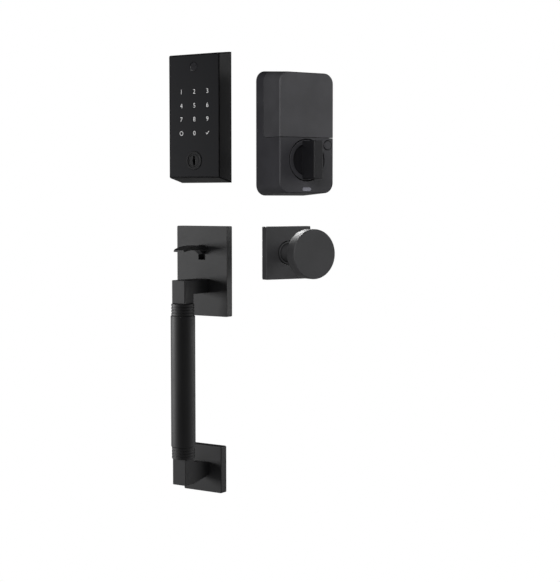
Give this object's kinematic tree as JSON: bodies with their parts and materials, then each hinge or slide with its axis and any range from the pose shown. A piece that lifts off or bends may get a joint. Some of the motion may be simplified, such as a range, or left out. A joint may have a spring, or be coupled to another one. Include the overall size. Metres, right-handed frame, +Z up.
{
  "type": "keypad smart lock",
  "caption": "Black keypad door lock set: touch keypad with key cylinder, inside motor unit with thumb turn, pull handle with thumbpiece, and inside knob.",
  "frame": {"origin": "centre of the outside keypad unit's gasket face, in the plane of the door's outside face", "axes": "+Y from the outside keypad unit into the door, +Z up, +X to the right as seen from outside; the inside pair stands beside the outside pair, turned 67 degrees about +Z"},
  "size_m": [0.1787, 0.1457, 0.5079],
  "materials": {
    "satin_black_metal": "satin black powder coat",
    "black_plastic": "fine-textured matt black moulding",
    "touch_panel": "smooth dark touch panel",
    "white_print": "white printed key symbols",
    "lens": "pale translucent window",
    "dark_lens": "dark round status lens",
    "steel": "zinc-plated steel",
    "black_steel": "blackened steel key cylinder",
    "brass": "plain brass",
    "rubber": "moulded rubber gasket",
    "board": "green circuit board",
    "inner_plastic": "grey structural plastic",
    "cell_jacket": "plain battery jacket",
    "acetal": "natural acetal"
  },
  "bodies": {
    "fixed_parts": {"keypad_housing": "satin_black_metal", "keypad_touch_panel": "touch_panel", "keypad_status_lens": "dark_lens", "keypad_circuit_board": "board", "keypad_buzzer": "black_plastic", "keypad_cable_connector": "acetal", "keypad_backplate": "steel", "keypad_gasket": "rubber", "keypad_cylinder_ring": "satin_black_metal", "keypad_cylinder_body": "black_steel", "keypad_back_screw_1": "steel", "keypad_back_screw_2": "steel", "interior_mounting_plate": "steel", "interior_housing": "black_plastic", "battery_tray": "inner_plastic", "battery_1": "cell_jacket", "battery_2": "cell_jacket", "battery_3": "cell_jacket", "battery_4": "cell_jacket", "interior_circuit_board": "board", "interior_chassis": "inner_plastic", "motor_body": "steel", "turn_trim_ring": "black_plastic", "status_window": "lens", "interior_through_bolt_1": "steel", "interior_through_bolt_2": "steel", "chassis_screw_1": "steel", "chassis_screw_2": "steel", "knob_rosette": "satin_black_metal", "knob_mount_plate": "steel", "knob_collar": "satin_black_metal", "knob_return_spring": "steel", "knob_mount_screw_1": "steel", "knob_mount_screw_2": "steel", "handle_upper_plate": "satin_black_metal", "handle_upper_liner": "steel", "thumb_pivot_pin": "steel", "thumb_return_spring": "steel", "handle_upper_elbow": "satin_black_metal", "handle_upper_ferrule": "satin_black_metal", "handle_grip": "satin_black_metal", "handle_grip_rod": "steel", "handle_lower_ferrule": "satin_black_metal", "handle_lower_elbow": "satin_black_metal", "handle_lower_rosette": "satin_black_metal", "handle_lower_stud": "steel"},
    "key_cylinder": {"key_plug": "black_steel", "tailpiece": "steel"},
    "battery_door": {"battery_cover": "black_plastic"},
    "thumb_turn": {"turn_dial": "black_plastic", "turn_paddle": "black_plastic", "turn_spindle": "steel", "spindle_gear": "acetal"},
    "idler": {"idler_gear": "acetal"},
    "motor_shaft": {"motor_pinion": "brass"},
    "program_key": {"program_button": "black_plastic"},
    "knob": {"knob_grip": "satin_black_metal", "knob_spindle": "steel"},
    "thumb_lever": {"thumbpiece": "satin_black_metal", "thumb_lift_lever": "steel"}
  },
  "joints": [
    {"name": "key_turn", "type": "hinge", "parent": "fixed_parts", "child": "key_cylinder", "pos_m": [0, -0.02, -0.049], "axis": [0, -1, 0], "range_deg": [-90, 90]},
    {"name": "battery_cover_lift", "type": "slide", "parent": "fixed_parts", "child": "battery_door", "axis": [0, 0, 1], "range_m": [0, 0.09]},
    {"name": "turn_rotate", "type": "hinge", "parent": "fixed_parts", "child": "thumb_turn", "pos_m": [0.11142, 0.03467, -0.049], "axis": [0.9205, -0.3907, 0], "range_deg": [-90, 0]},
    {"name": "idler_spin", "type": "hinge", "parent": "fixed_parts", "child": "idler", "pos_m": [0.07442, 0.02813, -0.03466], "axis": [0.9205, -0.3907, 0], "range_deg": [0, 162]},
    {"name": "motor_spin", "type": "hinge", "parent": "fixed_parts", "child": "motor_shaft", "pos_m": [0.07242, 0.0234, -0.04876], "axis": [0.9205, -0.3907, 0], "range_deg": [-242, 0]},
    {"name": "program_button_press", "type": "slide", "parent": "fixed_parts", "child": "program_key", "axis": [-0.9205, 0.3907, 0], "range_m": [0, 0.001], "stiffness_N_per_m": 400, "springref_m": -0.001},
    {"name": "knob_rotate", "type": "hinge", "parent": "fixed_parts", "child": "knob", "pos_m": [0.11142, 0.03467, -0.155], "axis": [0.9205, -0.3907, 0], "range_deg": [-55, 55], "stiffness_Nm_per_rad": 0.35},
    {"name": "thumbpiece_press", "type": "hinge", "parent": "fixed_parts", "child": "thumb_lever", "pos_m": [0, -0.0047, -0.152], "axis": [1, 0, 0], "range_deg": [0, 12], "stiffness_Nm_per_rad": 0.8, "springref_deg": -8.59}
  ],
  "couplings": [
    {"joint": "idler_spin", "follows": "turn_rotate", "ratio": -1.7778},
    {"joint": "motor_spin", "follows": "turn_rotate", "ratio": 2.6667}
  ]
}
